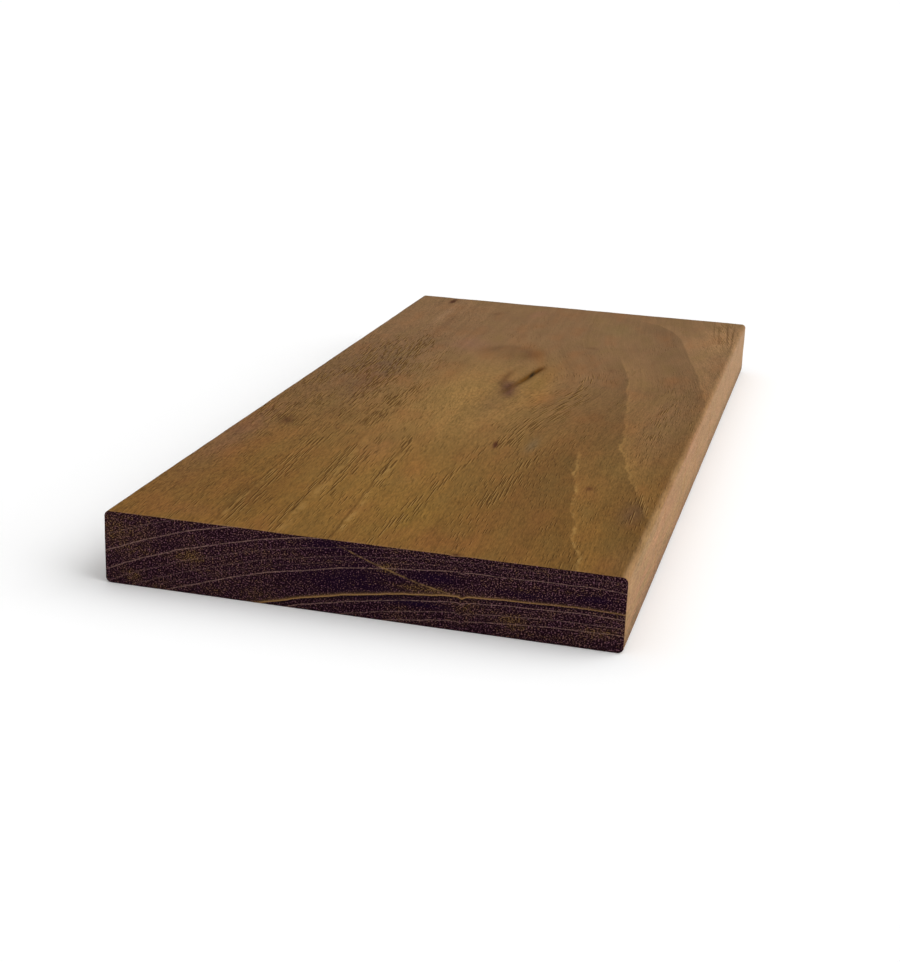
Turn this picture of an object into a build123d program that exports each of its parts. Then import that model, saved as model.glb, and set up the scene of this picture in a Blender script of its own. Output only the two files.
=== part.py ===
"""Planed jatoba board, sawn and dressed from one piece, lying flat on its underside.

Frame: +X runs across the width, +Y along the grain and +Z up out of the face.
The origin is the middle of the underside. Sizes are in millimetres.
"""

import os

from build123d import *

# Driving dimensions of the board
LENGTH = 320.0  # along the grain, from one crosscut end to the other
WIDTH = 145.0  # from edge to edge
THICKNESS = 21.0  # from the underside to the face
EDGE_RADIUS = 1.5  # the round that eases each of the four long corners


def dressed_section():
    """The cross-section as it leaves the planer: a rectangle on the floor with its four corners eased."""
    across = Plane.XZ * Pos(0, THICKNESS / 2)
    return across * RectangleRounded(WIDTH, THICKNESS, EDGE_RADIUS)


def crosscut_board():
    """The section run along the grain and cut square at both ends, so the end corners stay sharp."""
    return extrude(dressed_section(), amount=LENGTH / 2, both=True)


def main():
    os.makedirs("parts", exist_ok=True)
    export_step(crosscut_board(), "parts/board.step")


main()
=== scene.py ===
"""Looks of the planed jatoba board: its dressed shape, its wood, the floor, the light and the camera.

Objects are in metres in the row frame: +X across the width, +Y along the grain, +Z up. The wood's
figure is worked out in millimetres from the near left corner of the underside: u across, v along the
grain and w up.
"""

from math import e, pi, radians

import bmesh
import bpy
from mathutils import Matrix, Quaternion, Vector, noise


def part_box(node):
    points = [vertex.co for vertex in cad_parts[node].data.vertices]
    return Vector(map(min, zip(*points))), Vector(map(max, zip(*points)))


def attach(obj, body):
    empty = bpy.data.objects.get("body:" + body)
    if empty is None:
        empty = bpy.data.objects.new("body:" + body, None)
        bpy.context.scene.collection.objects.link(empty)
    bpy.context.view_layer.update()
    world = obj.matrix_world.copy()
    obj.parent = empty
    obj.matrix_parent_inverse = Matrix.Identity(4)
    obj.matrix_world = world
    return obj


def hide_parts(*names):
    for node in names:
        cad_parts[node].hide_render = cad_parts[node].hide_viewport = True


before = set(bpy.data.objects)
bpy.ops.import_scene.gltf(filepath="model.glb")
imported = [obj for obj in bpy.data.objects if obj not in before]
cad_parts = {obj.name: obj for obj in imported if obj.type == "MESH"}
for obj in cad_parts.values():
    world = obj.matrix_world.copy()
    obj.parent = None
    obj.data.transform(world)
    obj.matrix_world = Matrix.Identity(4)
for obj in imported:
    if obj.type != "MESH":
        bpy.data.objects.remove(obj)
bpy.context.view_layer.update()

MM = 0.001
FALL = 1 / e  # raised to a growing power, it falls from 1 towards 0
ACROSS, ALONG, UP = range(3)  # the axes of the row frame
low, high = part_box("board")
WIDTH, LENGTH, THICKNESS = (high - low) / MM

# The dressed board, in millimetres
EDGE_RADIUS = 1.5  # the round on the four long corners
EDGE_STEPS = 6
END_EASE = 0.25  # what sanding takes off the crosscut corners
END_STEPS = 2
WEAR = 0.08  # how far handling has rubbed the corners in at the worst places
WEAR_REACH = 1.8  # how far from a corner the wear goes
WEAR_STRETCH = 9  # how long a worn stretch is
SHARP_ANGLE = radians(50)

# How far apart the board is cut into a grid: away from the knot, at it, and how far round it is close
CUTS_UP = (1.6, 1.6, THICKNESS)
CUTS_ACROSS = (1.6, 0.3, 9)
CUTS_ALONG = (2.4, 0.6, 24)
CUT_SLACK = 1e-7  # how near a cut, in metres, a point counts as on it

# The knot on the face: its middle (u, v), how deep its dish and its open crack are, and two of its lines
KNOT = (75.2, 192.0)
DISH_DEPTH = 0.3
CRACK_DEPTH = 0.4
CRACK_LINE = ((73.2, 168), (74.0, 174), (75.4, 182), (76.4, 190), (77.5, 199), (78.6, 206), (78.9, 214))
OUTLINE_LINE = ((71.8, 172), (69.8, 179), (69.2, 190), (69.5, 199), (71.2, 208), (74.7, 217))

# Lines of the knot: points (u, v), half width, and where along the grain each comes in and goes out
CRACK = (CRACK_LINE, 0.7, (174, 190), (213, 204))
# The crack's brown: partly its own colour, partly painted shade on its walls
CRACK_BROWN_AND_SHADE = (CRACK_LINE, 1.7, (174, 190), (213, 204))
CRACK_FOOT = (CRACK_LINE, 1.3, (162, 170), (194, 178))
OUTLINE = (OUTLINE_LINE, 1.4, (166, 178), (216, 188))
TAIL = (((76.4, 158), (74.4, 169), (72.6, 180)), 2.9, (154, 169), (190, 176))
ORANGE_LINE = (((79, 206), (75.5, 220), (71.5, 236)), 2.4, (200, 212), (246, 228))

# Ovals of the knot: middle (u, v), half size
DISH = (KNOT, (5, 17))
KNOT_BODY = ((73.0, 193), (2.6, 15))
# Painted shade in the deepest parts of the crack: its pit and its tip
CRACK_PIT = ((77.2, 197), (0.7, 4.2))
CRACK_TIP = ((78.4, 206), (0.7, 3.0))
SHADE_BEYOND = ((65, 226), (8, 9))
BROWN_BEYOND = ((71.5, 226), (4, 8))

# The dark arch beyond the knot: middle (u, v), half size, softness, between which places it comes in
ARCH_MIDDLE = (61.7, 221)
ARCH_HALF_SIZE = (10, 15)
ARCH_SOFTNESS = 0.65
ARCH_COMES_IN = (212, 232)

# Pin knots and specks on the face: place, half size, how dark, how deep
PIN_KNOTS = (
    ((85.5, 104.0), (0.8, 2.6), 0.95, 0.5),
    ((86.1, 100.5), (0.7, 2.6), 0.75, 0.4),
    ((13.0, 106.0), (2.8, 3.8), 0.55, 0.25),
    ((16.0, 102.5), (3.0, 3.2), 0.42, 0.15),
    ((42.2, 120.5), (1.5, 3.0), 0.4, 0.15),
    ((122.3, 68.5), (1.3, 2.4), 0.6, 0.15),
    ((16.0, 313.0), (1.3, 4.5), 1.0, 0.4),
    ((99.4, 0.6), (1.3, 1.5), 0.9, 0.35),
    ((90.5, 247.5), (2.2, 2.2), 0.3, 0.1),
    ((104.0, 214.0), (1.6, 3.0), 0.2, 0.1),
    ((40.5, 295.0), (2.2, 3.0), 0.3, 0.1),
)

# Ring lines on the face: places (u, v), how bright the edge is, how much the tone steps across it
FACE_RINGS = (
    (((132, 0), (126, 24), (123.5, 38), (119.5, 60), (116.8, 74), (114.3, 93), (110, 109)), 0.85, 0.9),
    (
        (
            (147, 0), (147, 34), (140.5, 52), (136.5, 68), (131.5, 90), (124.5, 111),
            (121.3, 130), (119.3, 154), (115.3, 180), (112.8, 203), (105, 232),
        ),
        0.55,
        1.0,
    ),
    (
        (
            (147, 0), (147, 160), (140, 200), (136, 220), (131, 240),
            (127.2, 258), (122, 280), (117, 292), (110, 302), (100, 308),
        ),
        0.3,
        1.1,
    ),
)

# Pale streaks along the grain on the left of the face: line, half width, strength
PALE_STREAKS = (
    (((50.6, 0), (47.2, 72), (46.0, 96)), 1.3, 0.5),
    (((66.2, 0), (62.0, 58), (60.5, 88)), 0.8, 0.75),
    (((31.8, 0), (29.5, 66)), 0.6, 0.45),
)

# Dark streaks along the grain at the back right of the face: line, half width, strength
DARK_STREAKS = (
    (((143.5, 268), (141.0, 312)), 0.35, 0.6),
    (((141.0, 280), (137.5, 318)), 0.4, 0.75),
    (((138.0, 276), (134.5, 312)), 0.35, 0.6),
    (((134.5, 290), (132.0, 316)), 0.3, 0.45),
)

# Strips where the open pores crowd together on the face: line, half width, how crowded
PORE_STRIPS = (
    (((47.8, 0), (44.2, 84)), 1.3, 1.3),
    (((34.0, 4), (31.0, 98)), 2.4, 0.85),
    (((76.0, 2), (83.0, 98)), 2.2, 0.8),
    (((87.4, 100), (100.5, 172)), 3.8, 1.25),
    (((97.0, 44), (100.5, 92)), 2.8, 0.8),
    (((97.0, 164), (99.5, 198)), 2.2, 1.0),
    (((62.5, 50), (59.0, 96)), 2.4, 1.1),
    (((141.0, 262), (136.0, 322)), 5.0, 0.6),
    (((28.0, 140), (26.5, 240)), 3.6, 0.8),
    (((39.0, 104), (42.0, 160)), 3.0, 0.6),
    (((140.0, 36), (138.5, 70)), 2.4, 0.5),
    (((15.0, 168), (14.0, 238)), 6.0, 0.4),
    (((52.0, 30), (50.0, 96)), 2.0, 0.7),
    (((133.0, 120), (131.0, 170)), 3.0, 0.4),
)

# Patches of another tone on the face: place, half size, colour on screen, strength
PATCHES = (
    ((62, 150), (22, 60), (150, 115, 64), 0.8),
    ((66, 48), (20, 50), (136, 101, 48), 0.6),
    ((109, 60), (11, 62), (112, 79, 40), 0.7),
    ((14, 186), (15, 44), (110, 81, 56), 0.7),
    ((12, 30), (13, 26), (111, 78, 42), 0.45),
    ((32, 28), (5, 14), (100, 69, 34), 0.7),
    ((52, 88), (5, 16), (141, 97, 56), 0.6),
    ((69, 66), (4, 12), (146, 98, 50), 0.6),
    ((87, 164), (3, 13), (148, 106, 56), 0.6),
    ((95, 9), (8, 8), (126, 80, 42), 0.5),
    ((20, 9), (10, 6), (128, 82, 46), 0.5),
    ((44, 236), (8, 12), (136, 98, 76), 0.55),
    ((58, 300), (5, 9), (138, 96, 72), 0.45),
    ((78, 26), (8, 14), (126, 97, 42), 0.5),
    ((96, 282), (7, 12), (124, 101, 64), 0.55),
    ((138, 50), (3.5, 11), (103, 76, 52), 0.7),
    ((142, 12), (5, 16), (136, 98, 56), 0.6),
    ((97, 106), (1.8, 8), (112, 90, 62), 0.8),
    ((24, 176), (5, 34), (100, 76, 54), 0.7),
    ((5, 84), (7, 40), (115, 81, 62), 0.6),
    ((82.5, 186), (4.4, 26), (148, 110, 55), 0.6),
    ((73, 150), (4, 16), (121, 89, 56), 0.6),
    ((25.5, 266), (1.5, 22), (112, 82, 56), 0.7),
    ((20, 288), (2.0, 24), (142, 110, 80), 0.6),
    ((128, 88), (6, 24), (138, 104, 54), 0.45),
    ((137, 284), (9, 36), (154, 118, 80), 0.8),
    ((134, 150), (7, 44), (131, 98, 66), 0.6),
    ((104, 206), (9, 22), (134, 99, 67), 0.5),
)

# Ring lines on the near end by growth: level, half thickness, strength
END_RINGS = (
    (4.35, 0.1, 0.9),
    (6.42, 0.1, 0.65),
    (9.07, 0.1, 1.0),
    (16.75, 0.1, 1.0),
    (18.1, 0.09, 0.2),
    (19.4, 0.09, 0.35),
    (21.4, 0.09, 0.35),
    (23.55, 0.1, 0.95),
    (26.7, 0.1, 0.95),
    (29.3, 0.09, 0.35),
)

# The one thick ring on the near end: its level, between which heights it starts and how it fades above
THICK_RING = 10.6
THICK_RING_STARTS = (-0.24, -0.06)
THICK_RING_FADE = 0.2

# The pale line that slants down the near end to the thick ring, by places (w, u)
SLANT = ((20.9, 64.5), (17.7, 72.3), (16.2, 76.3), (13.6, 84.3), (12.0, 89.5), (10.4, 97), (9.6, 102))
SLANT_HALF_WIDTH = 0.22
SLANT_COMES_IN = (65, 73)
SLANT_GOES_OUT = (102.5, 94)

# Patches on the near end: place (u, w), half size, how bare and blue, how brown
END_PATCHES = (
    ((88, 6.2), (8, 0.9), 1.0, 0.0),
    ((72, 10), (17, 5), 0.6, 0.0),
    ((95, 14), (6, 1.6), 0.7, 0.0),
    ((137, 14), (5, 1.4), 0.7, 0.0),
    ((63, 19.5), (10, 2.0), 0.5, 0.0),
    ((120, 12.6), (9, 1.0), 0.5, 0.0),
    ((5, 16), (7, 5), 0.0, 0.7),
    ((25.5, 10.5), (3.5, 3), 0.0, 0.8),
    ((8.5, 3), (2.5, 1.6), 0.0, 0.9),
    ((81, 15.2), (2.5, 1.3), 0.0, 1.0),
    ((103, 7), (4, 2.2), 0.0, 0.6),
    ((116, 5), (4, 2.0), 0.0, 0.9),
    ((139, 5), (6, 1.8), 0.0, 0.7),
    ((90, 10.4), (11, 1.1), 0.0, 1.0),
    ((45, 2.2), (5, 1.2), 0.0, 0.5),
)

# How the rings lie across the near end, in millimetres
CROWN = 128.0  # where across the near end the rings are highest
CROWN_LEAN = 0.15  # how far the crown moves left for each millimetre along the board
CROWN_REACH = 100  # the distance from the crown at which the next three are given
RING_DROP = 12.6  # how far a ring drops there
RING_SKEW = 1.7  # how much more it drops there on the right, and less on the left
RING_CROWD = 0.34  # what share closer together the rings lie there on the right, and wider on the left
RING_MIDDLE = 10  # the height about which they crowd together
RING_SLOPE = 0.01  # how far a ring drops for each millimetre along the board
RING_LIFT = 0.55  # how far a ring is lifted at the right edge
LIFT_COMES_IN = (115, 147)  # between which places across
FAULT = 101.7  # where a fault crosses the rings at the near end
FAULT_HALF_WIDTH = 0.8
FAULT_DROP = 0.5
NEAR_PART = (40, 10)  # between which places along the grain the near end's own marks come in

# How the grain lines run on the face: their lean, and how far and where they bend to pass the knot
GRAIN_LEAN = 0.05
RIGHT_BEND = 17
RIGHT_OF_KNOT = ((100, 195), (26, 52))
LEFT_BEND = 4
LEFT_OF_KNOT = ((57, 196), (11, 46))
BACK_LEAN = 0.185  # how much more they lean at the back right
BACK_START = 190  # from which place along
BACK_COMES_IN = (80, 130)  # between which places across

# The open pores: the room for each, across and along, and how far beside a pore its painted highlight
# lies
FINE_PORE = (0.62, 16)
BOLD_PORE = (0.95, 13)
HIGHLIGHT_BESIDE = 0.3
CLEAR_OF_PORES = ((68, 178), (17, 36))  # an oval round the knot that has few pores

# How far before and past its ends a strip of pores or a dark streak fades out
STRIP_FADE = 8
STREAK_FADE = 6

# A ring line on the face: how far its dark and its light side go, how softly and how much the tone steps
DARK_REACH = 20
LIGHT_REACH = 12
STEP_SOFT = 0.3
STEP_TONE = 0.13

# Sizes of the lumps in each kind of unevenness: across, along the grain, up
FIBRE = (0.5, 38, 0.5)
SHORT_LUMP = (0.4, 2.2, 0.4)
LONG_STREAK = (2.6, 95, 2.6)
MOTTLE = (6, 15, 6)
RED_PATCH = (9, 22, 9)
PORE_PATCH = (9, 26, 9)
RING_JOG = (60, 17, 60)
RING_BREAK = (2.5, 6, 2.5)
RING_WANDER = (18, 90, 18)
RING_WAVER = (4, 30, 4)
RAGGED_EDGE = (3, 12, 3)
END_BROWN_PATCH = (10, 400, 4)
SPECK = (0.44, 400, 0.37)
SPECK_TINT = (1.4, 400, 1.2)
LINE_BREAK = (1.0, 400, 1.0)
SLANT_BREAK = (1.6, 400, 1.6)

# How far two clouds are moved across, so that they don't repeat the others
RED_SHIFT = 200
TINT_SHIFT = 60

# Lamps: name, direction towards it, share of a plain level, spread in degrees
LAMPS = (
    ("window", (0.8, 0.15, 0.58), 0.62, 75),
    ("overhead", (0.1, 0.1, 1), 0.5, 110),
)
SKY_LEVEL = 0.2
FLOOR_REACH = 40  # metres from the board
FLOOR_WHITE = (0.98, 0.98, 0.98, 1)

# The camera: where it stands and what it looks at, its lens and its tilt
EYE = (123.66, -549.71, 170.94)  # millimetres
AIM = (9.5, -99.7, 21.0)
LENS = 61.775  # millimetres
TILT = 2.296  # degrees
NEAREST = 0.01  # how near it sees, in metres
FURTHEST = 200  # how far it sees, in metres


class Field:
    """A number, colour or direction that changes through the wood, held as a node's output.

    Sums on a number add Math nodes.
    """

    def __init__(self, tree, socket):
        self.tree = tree
        self.socket = socket

    def node(self, kind, settings, inputs, output=0):
        """Adds a node, with its settings first and then its sockets, and returns one of its outputs."""
        made = self.tree.nodes.new(kind)
        for name, setting in settings.items():
            setattr(made, name, setting)
        for name, given in inputs.items():
            if isinstance(given, Field):
                self.tree.links.new(given.socket, made.inputs[name])
            else:
                made.inputs[name].default_value = given
        return Field(self.tree, made.outputs[output])

    def maths(self, operation, *terms):
        """Adds a Math node."""
        return self.node("ShaderNodeMath", {"operation": operation}, dict(enumerate(terms)))

    def vectors(self, operation, *terms, output=0):
        """Adds a Vector Math node."""
        settings = {"operation": operation}
        return self.node("ShaderNodeVectorMath", settings, dict(enumerate(terms)), output)

    def __add__(self, other):
        return self.maths("ADD", self, other)

    def __radd__(self, other):
        return self.maths("ADD", other, self)

    def __sub__(self, other):
        return self.maths("SUBTRACT", self, other)

    def __rsub__(self, other):
        return self.maths("SUBTRACT", other, self)

    def __mul__(self, other):
        return self.maths("MULTIPLY", self, other)

    def __rmul__(self, other):
        return self.maths("MULTIPLY", other, self)

    def __truediv__(self, other):
        return self.maths("DIVIDE", self, other)

    def __rtruediv__(self, other):
        return self.maths("DIVIDE", other, self)

    def __rpow__(self, other):
        return self.maths("POWER", other, self)


# Shapes that work on numbers, to move the mesh, and on fields, to colour it

def limit(value):
    """Held between 0 and 1."""
    if isinstance(value, Field):
        return value.maths("MINIMUM", value.maths("MAXIMUM", value, 0), 1)
    return min(max(value, 0), 1)


def climb(value, start, end):
    """0 at start, 1 at end and smooth between them; start may be the larger."""
    if isinstance(value, Field):
        settings = {"interpolation_type": "SMOOTHSTEP", "clamp": False}
        inputs = {"Value": value, "From Min": start, "From Max": end}
        return value.node("ShaderNodeMapRange", settings, inputs)
    share = limit((value - start) / (end - start))
    return share * share * (3 - 2 * share)


def above(value):
    """The part of it over 0."""
    return value.maths("MAXIMUM", value, 0) if isinstance(value, Field) else max(value, 0)


def bell(distance):
    """1 at no distance, falling smoothly to nothing by about 2."""
    return FALL ** (distance * distance)


def spot(place, middle, half_size):
    """A soft oval: 1 in its middle, falling smoothly to nothing by about twice its half size."""
    if isinstance(place, Field):
        grow = [1 / half for half in half_size] + [0]
        shift = [-at / half for at, half in zip(middle, half_size)] + [0]
        off = place.vectors("MULTIPLY_ADD", place, grow, shift)
        return FALL ** place.vectors("DOT_PRODUCT", off, off, output="Value")
    sides = zip(place, middle, half_size)
    return FALL ** sum(((at - centre) / half) ** 2 for at, centre, half in sides)


def path(along, points):
    """How far across a line through points (across, along) lies; it runs straight on past both ends."""
    (first, start), (second, finish) = points[:2]
    slope = (second - first) / (finish - start)
    across = slope * along + (first - slope * start)
    for (near, start), (far, finish) in zip(points[1:], points[2:]):
        turn = (far - near) / (finish - start) - slope
        across = across + turn * above(along - start)
        slope += turn
    return across


def stroke(u, v, points, half_width, comes_in, goes_out):
    """A soft line through these points that comes in and goes out along the grain: 1 in its middle."""
    return bell((u - path(v, points)) / half_width) * climb(v, *comes_in) * climb(v, *goes_out)


def between(v, points, fade):
    """1 along a line from its first point to its last, fading out round both."""
    first = points[0][1]
    last = points[-1][1]
    return climb(v, first - fade, first + fade) * climb(v, last + fade, last - fade)


# The dressed board

def ease(mesh, edges, radius, steps):
    """Rounds these edges off."""
    bmesh.ops.bevel(
        mesh,
        geom=edges,
        offset=radius * MM,
        offset_type="OFFSET",
        segments=steps,
        profile=0.5,
        affect="EDGES",
        material=-1,
    )


def runs_along(edge, axis):
    """Whether an edge lies along this axis."""
    run = edge.verts[1].co - edge.verts[0].co
    return abs(run[axis]) > 0.9 * run.length


def at_an_end(edge):
    """Whether an edge lies in one of the two crosscut ends."""
    return all(min(point.co.y - low.y, high.y - point.co.y) < END_EASE * MM / 10 for point in edge.verts)


def cuts(length, middle, coarse, fine, reach):
    """Where a side of this length is cut: closest round one place and further apart away from it."""
    places = []
    place = coarse / 2
    while place < length - coarse / 4:
        places.append(place)
        place += coarse - (coarse - fine) * bell((place - middle) / reach)
    return places


def slice_up(mesh, axis, places):
    """Cuts the mesh across this axis at each place, in millimetres from the low end of its side."""
    across = Vector((0, 0, 0))
    across[axis] = 1
    for place in places:
        bmesh.ops.bisect_plane(
            mesh,
            geom=mesh.verts[:] + mesh.edges[:] + mesh.faces[:],
            dist=CUT_SLACK,
            plane_co=low + across * (place * MM),
            plane_no=across,
        )


def sink(u, v):
    """How far the face is sunk, in millimetres, by the crack, the knot's dish and the pin knots."""
    depth = CRACK_DEPTH * stroke(u, v, *CRACK) + DISH_DEPTH * spot((u, v), *DISH)
    for place, half_size, _dark, deep in PIN_KNOTS:
        depth += deep * spot((u, v), place, half_size)
    return depth


def rub(point):
    """Rubs a corner in by an uneven amount where two or three sides of the board meet."""
    near = [min(point[axis] - low[axis], high[axis] - point[axis]) / MM for axis in range(3)]
    second = sorted(near)[1]
    uneven = limit(0.35 + 1.3 * noise.noise(point / (WEAR_STRETCH * MM)))
    worn = WEAR * climb(second, WEAR_REACH, 0) * uneven
    middle = (low + high) / 2
    for axis in (ACROSS, UP):
        if near[axis] < EDGE_RADIUS:
            point[axis] += worn * MM if point[axis] < middle[axis] else -worn * MM


def dressed_board():
    """The board with eased edges, cut into a fine grid whose face is then sunk at the knots."""
    mesh = bmesh.new()
    bmesh.ops.create_cube(mesh, size=1)
    bmesh.ops.scale(mesh, vec=high - low, verts=mesh.verts)
    bmesh.ops.translate(mesh, vec=(high + low) / 2, verts=mesh.verts)
    ease(mesh, [edge for edge in mesh.edges if runs_along(edge, ALONG)], EDGE_RADIUS, EDGE_STEPS)
    ease(mesh, [edge for edge in mesh.edges if at_an_end(edge)], END_EASE, END_STEPS)
    slice_up(mesh, UP, cuts(THICKNESS, THICKNESS / 2, *CUTS_UP))
    slice_up(mesh, ACROSS, cuts(WIDTH, KNOT[0], *CUTS_ACROSS))
    slice_up(mesh, ALONG, cuts(LENGTH, KNOT[1], *CUTS_ALONG))
    for point in mesh.verts:
        u, v, w = (point.co - low) / MM
        rub(point.co)
        if w > THICKNESS - EDGE_RADIUS / 2:
            point.co.z -= sink(u, v) * MM
    bmesh.ops.recalc_face_normals(mesh, faces=mesh.faces)
    data = bpy.data.meshes.new("jatoba_board")
    mesh.to_mesh(data)
    mesh.free()
    data.shade_smooth()
    data.set_sharp_from_angle(angle=SHARP_ANGLE)
    board = bpy.data.objects.new("jatoba_board", data)
    bpy.context.scene.collection.objects.link(board)
    return board


# The wood

def paint(red, green, blue):
    """A colour as it shows on screen, 0 to 255, as the shader's linear one."""
    shares = [channel / 255 for channel in (red, green, blue)]
    return [s / 12.92 if s <= 0.04045 else ((s + 0.055) / 1.055) ** 2.4 for s in shares] + [1]


# Colours of the face
NEAR_BROWN = paint(121, 86, 40)
# Painted sheen: the brown turns greyer and paler towards the back, where the face reflects more sky
FAR_SHEEN_BROWN = paint(128, 97, 66)
RED_BROWN = paint(140, 88, 48)
GREEN_BROWN = paint(116, 94, 50)
DARK_STREAK = paint(74, 46, 16)
PALE_LINE = paint(170, 133, 76)
PIN_BROWN = paint(70, 38, 20)
# Painted highlight beside each open pore
PORE_HIGHLIGHT = paint(168, 131, 74)
DARK_PORE = paint(68, 40, 12)

# Colours of the edges and corners
PLAIN_BROWN = paint(126, 92, 56)
# Pale tones of the right edge: partly its own wood, partly painted light from the lamp on the right
EDGE_GOLD = paint(154, 124, 82)
EDGE_ROSE = paint(160, 117, 84)
EDGE_FAR = paint(162, 129, 95)
# Painted highlight along the right edge's upper corner
CORNER_HIGHLIGHT = paint(172, 136, 94)
# Painted shade along the left, far and lower corners
PAINTED_CORNER_SHADE = paint(82, 68, 50)
PALE_RIM = paint(150, 116, 80)

# Colours of the ends
END_BLACK = paint(27, 6, 17)
END_BLUE = paint(24, 7, 36)
END_BROWN = paint(40, 21, 14)
FLECK_PINK = paint(124, 84, 97)
FLECK_TAN = paint(128, 96, 62)
BELOW_THICK_RING = paint(20, 8, 16)
PALE_RING = paint(156, 122, 112)
PALE_SLANT = paint(150, 117, 74)
PALE_THICK_RING = paint(162, 124, 76)

# Sockets of a Mix node that mixes colours: its factor, its two colours and its result
FACTOR = 0
FIRST = 6
SECOND = 7
RESULT = 2


def tinted(base, tint, amount):
    """A colour changed towards another by an amount from 0 to 1."""
    settings = {"data_type": "RGBA", "clamp_factor": True}
    return amount.node("ShaderNodeMix", settings, {FACTOR: amount, FIRST: base, SECOND: tint}, RESULT)


def lit(colour, factor):
    """A colour times a factor, as a mix with black that may also go the other way."""
    settings = {"data_type": "RGBA", "clamp_factor": False}
    inputs = {FACTOR: 1 - factor, FIRST: colour, SECOND: paint(0, 0, 0)}
    return factor.node("ShaderNodeMix", settings, inputs, RESULT)


def cloud(u, v, w, size, detail=1):
    """Soft noise about 0, mostly within a third of 1, whose lumps have these sizes."""
    place = u.node("ShaderNodeCombineXYZ", {}, {0: u / size[0], 1: v / size[1], 2: w / size[2]})
    inputs = {"Vector": place, "Scale": 1, "Detail": detail, "Roughness": 0.55}
    return u.node("ShaderNodeTexNoise", {"noise_dimensions": "3D"}, inputs) - 0.5


def growth(u, v, w):
    """Which ring a point lies in, as that ring's height above the underside where it is highest."""
    off = (u + CROWN_LEAN * v - CROWN) / CROWN_REACH
    fault = FAULT_DROP * bell((u - FAULT) / FAULT_HALF_WIDTH) * climb(v, *NEAR_PART)
    wander = 0.9 * cloud(u, v, w, RING_WANDER) + 0.35 * cloud(u, v, w, RING_WAVER)
    wander = wander - RING_LIFT * climb(u, *LIFT_COMES_IN)
    level = w + RING_DROP * (off * off) + RING_SKEW * (off * off * off)
    return level + RING_CROWD * off * (w - RING_MIDDLE) + RING_SLOPE * v + fault + wander


def grain_line(face, u, v):
    """Which grain line a place on the face belongs to: they lean left and bend to pass the knot."""
    right = RIGHT_BEND * spot(face, *RIGHT_OF_KNOT)
    left = LEFT_BEND * spot(face, *LEFT_OF_KNOT)
    lean = BACK_LEAN * above(v - BACK_START) * climb(u, *BACK_COMES_IN)
    return u + GRAIN_LEAN * v - right + left + lean


def nearest_pore(grain, v, room):
    """How far off the nearest scattered pore's middle is, as a share of the room that each pore has."""
    place = v.node("ShaderNodeCombineXYZ", {}, {0: grain / room[0], 1: v / room[1]})
    return v.node("ShaderNodeTexVoronoi", {"voronoi_dimensions": "2D"}, {"Vector": place, "Scale": 1})


def open_pores(face, grain, u, v, w):
    """How far a place on the face is in a dark open pore, and how far in the painted highlight beside
    one.
    """
    # Fewer pores at the back, and more in the middle of the left side and in the strips
    left_side = 0.3 * climb(u, 60, 36) * climb(v, 50, 120) * climb(v, 262, 205)
    crowd = 0.08 + 0.2 * climb(v, 255, 170) + left_side
    for points, half_width, crowded in PORE_STRIPS:
        strip = crowded * bell((u - path(v, points)) / half_width)
        crowd = crowd + strip * between(v, points, STRIP_FADE)

    # Then crowded in patches, as a share of each pore's room that the pore takes up
    clear = 1 - 0.9 * spot(face, *CLEAR_OF_PORES)
    crowd = 0.3 * limit((crowd + 1.4 * cloud(u, v, w, PORE_PATCH)) * clear)
    fine = climb(crowd - nearest_pore(grain, v, FINE_PORE), -0.05, 0.06)
    bold = climb(0.6 * crowd - nearest_pore(grain, v, BOLD_PORE), -0.03, 0.05)
    bold = bold * climb(v, 75, 115) * climb(u, 66, 50)
    # Painted highlight: a pale strip set beside each pore
    pale = climb(crowd - nearest_pore(grain - HIGHLIGHT_BESIDE, v, FINE_PORE), -0.03, 0.1)
    return fine.maths("MAXIMUM", fine, bold), pale


def ring_lines(colour, u, v, w):
    """The colour with the face's streaks and ring lines.

    A ring is dark up to its line, then has a thin ragged light edge and light that fades.
    """
    shade = 0
    for points, half_width, strength in DARK_STREAKS:
        dark = strength * bell((u - path(v, points)) / half_width)
        shade = shade + dark * between(v, points, STREAK_FADE)
    jog = 8.5 * cloud(u, v, w, RING_JOG, 4) * climb(v, 270, 110)
    broken = climb(cloud(u, v, w, RING_BREAK, 2), -0.16, 0.2) * climb(v, 300, 40)
    step = 1
    light = 0
    for points, bright, contrast in FACE_RINGS:
        past = u + jog - path(v, points)
        there = climb(v, points[-1][1] + 6, points[-1][1] - 14)
        dark_side = climb(past, -DARK_REACH, -STEP_SOFT) * climb(past, STEP_SOFT, -STEP_SOFT)
        light_side = climb(past, -STEP_SOFT, STEP_SOFT) * climb(past, LIGHT_REACH, 0)
        step = step + contrast * there * (STEP_TONE * light_side - STEP_TONE * dark_side)
        light = light + bright * there * bell((past - 0.4) / 0.55)
    for points, half_width, strength in PALE_STREAKS:
        off = u + 0.3 * jog - path(v, points)
        there = strength * climb(v, points[-1][1] + 12, points[-1][1] - 12)
        light = light + there * bell(off / half_width)
        shade = shade + there * bell((off + 1.5 * half_width) / 0.4)
    colour = tinted(lit(colour, step), DARK_STREAK, 0.7 * shade)
    return tinted(colour, PALE_LINE, 0.7 * light * broken)


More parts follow.
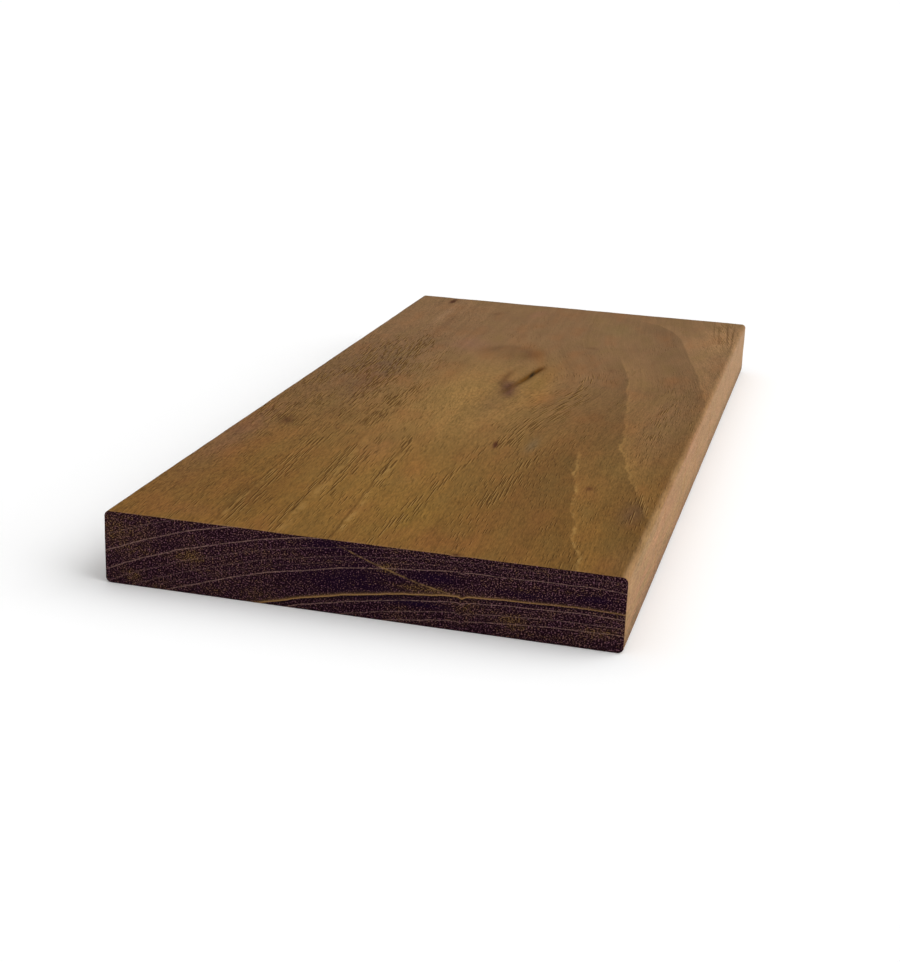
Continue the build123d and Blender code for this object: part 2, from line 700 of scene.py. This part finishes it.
def knot_marks(colour, face, u, v):
    """The colour with the knot, its crack, its tail and the pin knots on it."""
    across = (u - ARCH_MIDDLE[0]) / ARCH_HALF_SIZE[0]
    along = (v - ARCH_MIDDLE[1]) / ARCH_HALF_SIZE[1]
    arch = bell((across * across + along * along - 1) / ARCH_SOFTNESS) * climb(v, *ARCH_COMES_IN)

    # Each mark, its colour on screen and its strength, laid over those before it
    marks = (
        (spot(face, *SHADE_BEYOND), (110, 78, 46), 0.5),
        (arch, (106, 77, 50), 0.6),
        (spot(face, *BROWN_BEYOND), (104, 68, 38), 0.6),
        (stroke(u, v, *ORANGE_LINE), (138, 92, 46), 0.35),
        (spot(face, *KNOT_BODY), (134, 100, 58), 0.5),
        (stroke(u, v, *OUTLINE), (92, 62, 32), 0.7),
        (stroke(u, v, *TAIL), (88, 56, 44), 0.9),
        (stroke(u, v, *CRACK_FOOT), (94, 60, 28), 0.75),
        # The crack's brown is partly painted shade on its walls; its pit and tip are painted shade
        (stroke(u, v, *CRACK_BROWN_AND_SHADE), (90, 54, 4), 1.1),
        (spot(face, *CRACK_PIT), (24, 10, 0), 1.2),
        (spot(face, *CRACK_TIP), (56, 32, 8), 0.35),
    )
    for mark, tint, strength in marks:
        colour = tinted(colour, paint(*tint), strength * mark)

    pins = 0
    for place, half_size, dark, _deep in PIN_KNOTS:
        pins = pins + dark * spot(face, place, half_size)
    return tinted(colour, PIN_BROWN, 1.2 * pins)


def planed_face(face, grain, u, v, w, tone):
    """Colour of the face, with its patches, knots, rings, pores and painted highlights beside the pores,
    and where its dark pores are.
    """
    # Painted sheen: greyer and paler towards the back, as the face reflects more sky there
    colour = tinted(NEAR_BROWN, FAR_SHEEN_BROWN, climb(v, 20, 270))
    for middle, half_size, tint, strength in PATCHES:
        colour = tinted(colour, paint(*tint), strength * spot(face, middle, half_size))
    colour = lit(knot_marks(colour, face, u, v), tone)
    red = cloud(u + RED_SHIFT, v, w, RED_PATCH, 2)
    colour = tinted(colour, RED_BROWN, 1.1 * red)
    colour = tinted(colour, GREEN_BROWN, -1.1 * red)
    colour = ring_lines(colour, u, v, w)
    dark_pores, pore_highlights = open_pores(face, grain, u, v, w)
    # Painted highlight beside the pores
    colour = tinted(colour, PORE_HIGHLIGHT, 0.5 * pore_highlights)
    return tinted(colour, DARK_PORE, 0.72 * dark_pores), dark_pores


def right_edge(colour, u, v, w, tone, streak, mottle):
    """The colour with the right edge, paler partly as its own wood and partly as painted light, with
    painted shade lower down, the face's brown over its upper corner and a painted highlight along it.
    """
    # Pale tones partly of the wood and partly painted light where the lamp on the right falls
    edge = tinted(EDGE_GOLD, EDGE_ROSE, 0.5 + 2.2 * streak)
    edge = tinted(edge, EDGE_FAR, 0.5 * climb(v, 80, 300))
    # Painted shade: the right edge darker towards the bottom, more so at the front
    painted_low_shade = 0.33 * climb(w, 7.5, 0.8) + 0.1 * climb(w, 14, 5) * climb(v, 110, 40)
    edge = lit(edge, tone - painted_low_shade)

    # How far a place lies round the upper corner, with a ragged border between brown and pale
    over = u - w + (THICKNESS - WIDTH + EDGE_RADIUS) + 0.7 * climb(v, 100, 40)
    over = over + 2 * cloud(u, v, w, RAGGED_EDGE)
    colour = tinted(colour, edge, climb(over, -0.5, 4.2) * climb(u, WIDTH - 3, WIDTH - 1))

    # A painted highlight along the near part of that corner, where light catches its round
    corner = bell((u - WIDTH + 0.9) / 0.8) * climb(w, THICKNESS - 2, THICKNESS - 0.6)
    corner = corner * climb(v, 140, 60)
    return tinted(colour, CORNER_HIGHLIGHT, corner * (0.35 + 1.5 * mottle))


def end_grain(u, v, w):
    """Colour of a crosscut end and its unevenness: nearly black, specked, with pale ring lines."""
    end_face = u.node("ShaderNodeCombineXYZ", {}, {0: u, 1: w})
    near_end = climb(v, *NEAR_PART)

    # Dark ground with bare bluish and brown patches, and finely specked
    bare = 0
    brown = 0
    for place, half_size, blue, warm in END_PATCHES:
        patch = spot(end_face, place, half_size) * near_end
        bare = bare + blue * patch
        brown = brown + warm * patch
    brown = brown + 1.4 * cloud(u, v, w, END_BROWN_PATCH)
    speck = cloud(u, v, w, SPECK, 2)
    specks = climb(speck + 0.05 * brown - 0.08 * bare, 0.01, 0.15)
    ground = tinted(END_BLACK, END_BLUE, 0.8 * bare)
    ground = tinted(ground, END_BROWN, 0.7 * brown)
    tint = cloud(u + TINT_SHIFT, v, w, SPECK_TINT)
    fleck = tinted(FLECK_PINK, FLECK_TAN, 0.25 + 0.8 * brown + 2 * tint)
    colour = tinted(ground, fleck, 0.95 * specks)

    # The rings' lines, the slanting line and the thick ring with a dark border below it
    rings = growth(u, v, w)
    past = rings - THICK_RING
    colour = tinted(colour, BELOW_THICK_RING, 0.55 * bell((past + 0.5) / 0.25))
    lines = 0
    for level, half_thickness, strength in END_RINGS:
        lines = lines + strength * bell((rings - level) / half_thickness)
    lines = lines * limit(0.7 + 2.4 * cloud(u, v, w, LINE_BREAK))
    colour = tinted(colour, PALE_RING, 0.75 * lines)
    slant = bell((w - path(u, SLANT)) / SLANT_HALF_WIDTH)
    slant = slant * climb(u, *SLANT_COMES_IN) * climb(u, *SLANT_GOES_OUT) * near_end
    slant = slant * limit(0.5 + 2.4 * cloud(u, v, w, SLANT_BREAK) + 0.3 * brown)
    colour = tinted(colour, PALE_SLANT, 0.8 * slant)
    thick = climb(past, *THICK_RING_STARTS) * FALL ** (above(past) / THICK_RING_FADE)
    thick = thick * (0.95 - 0.45 * climb(u, 100, 146))
    return tinted(colour, PALE_THICK_RING, thick), speck


def jatoba():
    """Planed and oiled jatoba: golden brown face, a right edge paler partly by painted light, and nearly
    black open end grain.
    """
    material = bpy.data.materials.new("jatoba")
    material.use_nodes = True
    tree = material.node_tree
    shader = tree.nodes["Principled BSDF"]
    place = Field(tree, tree.nodes.new("ShaderNodeTexCoord").outputs["Object"])
    sides = [place.node("ShaderNodeSeparateXYZ", {}, {0: place}, side) for side in range(3)]
    u, v, w = [(side - start) / MM for side, start in zip(sides, low)]

    # Uneven tone everywhere: fibres, short lumps and long streaks along the grain, and mottle
    face = u.node("ShaderNodeCombineXYZ", {}, {0: u, 1: v})
    grain = grain_line(face, u, v)
    fibre = cloud(grain, v, w, FIBRE, 2)
    lumps = cloud(grain, v, w, SHORT_LUMP, 2)
    streak = cloud(grain, v, w, LONG_STREAK, 2)
    mottle = cloud(u, v, w, MOTTLE, 3)
    rough_left = 0.6 * climb(u, 42, 20) * climb(v, 260, 200)
    smooth_back = climb(v, 150, 230) * climb(u, 26, 46) * climb(u, 138, 124)
    rough = 1.5 + rough_left - smooth_back
    tone = 0.97 + rough * (0.35 * fibre + 0.8 * lumps) + 0.34 * streak + 0.36 * mottle

    # The face on top, plain wood on the other long sides, then the right edge, paler partly by painted
    # light
    colour, dark_pores = planed_face(face, grain, u, v, w, tone)
    plain = lit(PLAIN_BROWN, tone + 0.5 * streak)
    colour = tinted(plain, colour, climb(w, THICKNESS - 3, THICKNESS - 0.8))
    colour = right_edge(colour, u, v, w, tone, streak, mottle)

    # Painted shade along corners: the left one, the far one and those below
    corner_shade = climb(u, 1.1, 0.2) + climb(v, LENGTH - 1.0, LENGTH - 0.2) + climb(w, 1.3, 0.3)
    colour = tinted(colour, PAINTED_CORNER_SHADE, 0.6 * limit(corner_shade))

    # A thin paler rim along the crosscut corners, then the ends
    from_end = u.maths("MINIMUM", v, LENGTH - v)
    rim = bell((from_end - 0.4) / 0.35) * limit(0.4 + 3 * mottle)
    colour = tinted(colour, PALE_RIM, 0.5 * rim)
    end = climb(from_end, 0.2, 0.04)
    end_colour, speck = end_grain(u, v, w)
    colour = tinted(colour, end_colour, end)

    tree.links.new(colour.socket, shader.inputs["Base Color"])
    roughness = 0.6 + 0.2 * end + 0.1 * dark_pores
    tree.links.new(roughness.socket, shader.inputs["Roughness"])
    shader.inputs["Specular IOR Level"].default_value = 0.03
    hollow = (1 - end) * (0.05 * fibre + 0.08 * lumps - 0.2 * dark_pores) + 0.3 * end * speck
    bump = place.node("ShaderNodeBump", {}, {"Strength": 0.8, "Distance": MM, "Height": hollow})
    tree.links.new(bump.socket, shader.inputs["Normal"])
    return material


# The floor, the light and the camera

def floor():
    """A plain pale floor under the board."""
    mesh = bmesh.new()
    bmesh.ops.create_grid(mesh, x_segments=1, y_segments=1, size=FLOOR_REACH)
    data = bpy.data.meshes.new("floor")
    mesh.to_mesh(data)
    mesh.free()
    material = bpy.data.materials.new("pale_floor")
    material.use_nodes = True
    shader = material.node_tree.nodes["Principled BSDF"]
    shader.inputs["Base Color"].default_value = FLOOR_WHITE
    shader.inputs["Roughness"].default_value = 1
    shader.inputs["Specular IOR Level"].default_value = 0
    data.materials.append(material)
    ground = bpy.data.objects.new("floor", data)
    bpy.context.scene.collection.objects.link(ground)


def lamp(name, towards, share, spread):
    """A far soft lamp in this direction, which lights what faces it by this share of a plain level."""
    data = bpy.data.lights.new(name, "SUN")
    data.energy = share * pi
    data.angle = radians(spread)
    light = bpy.data.objects.new(name, data)
    light.rotation_mode = "QUATERNION"
    light.rotation_quaternion = Vector(towards).to_track_quat("Z", "Y")
    bpy.context.scene.collection.objects.link(light)


def sky(level):
    """A plain white sky of this strength."""
    world = bpy.data.worlds.new("sky")
    world.use_nodes = True
    background = world.node_tree.nodes["Background"]
    background.inputs["Color"].default_value = (1, 1, 1, 1)
    background.inputs["Strength"].default_value = level
    bpy.context.scene.world = world


def camera():
    """The camera that looks at the board from the right of its near end."""
    data = bpy.data.cameras.new("camera")
    data.lens = LENS
    data.clip_start = NEAREST
    data.clip_end = FURTHEST
    eye = Vector(EYE) * MM
    aim = Vector(AIM) * MM
    tilt = Quaternion((0, 0, 1), radians(TILT))
    view = bpy.data.objects.new("camera", data)
    view.location = eye
    view.rotation_mode = "QUATERNION"
    view.rotation_quaternion = (aim - eye).to_track_quat("-Z", "Y") @ tilt
    bpy.context.scene.collection.objects.link(view)
    bpy.context.scene.camera = view


board = dressed_board()
board.data.materials.append(jatoba())
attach(board, "root")
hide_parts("board")
floor()
for name, towards, share, spread in LAMPS:
    lamp(name, towards, share, spread)
sky(SKY_LEVEL)
camera()
bpy.context.scene.view_settings.view_transform = "Standard"
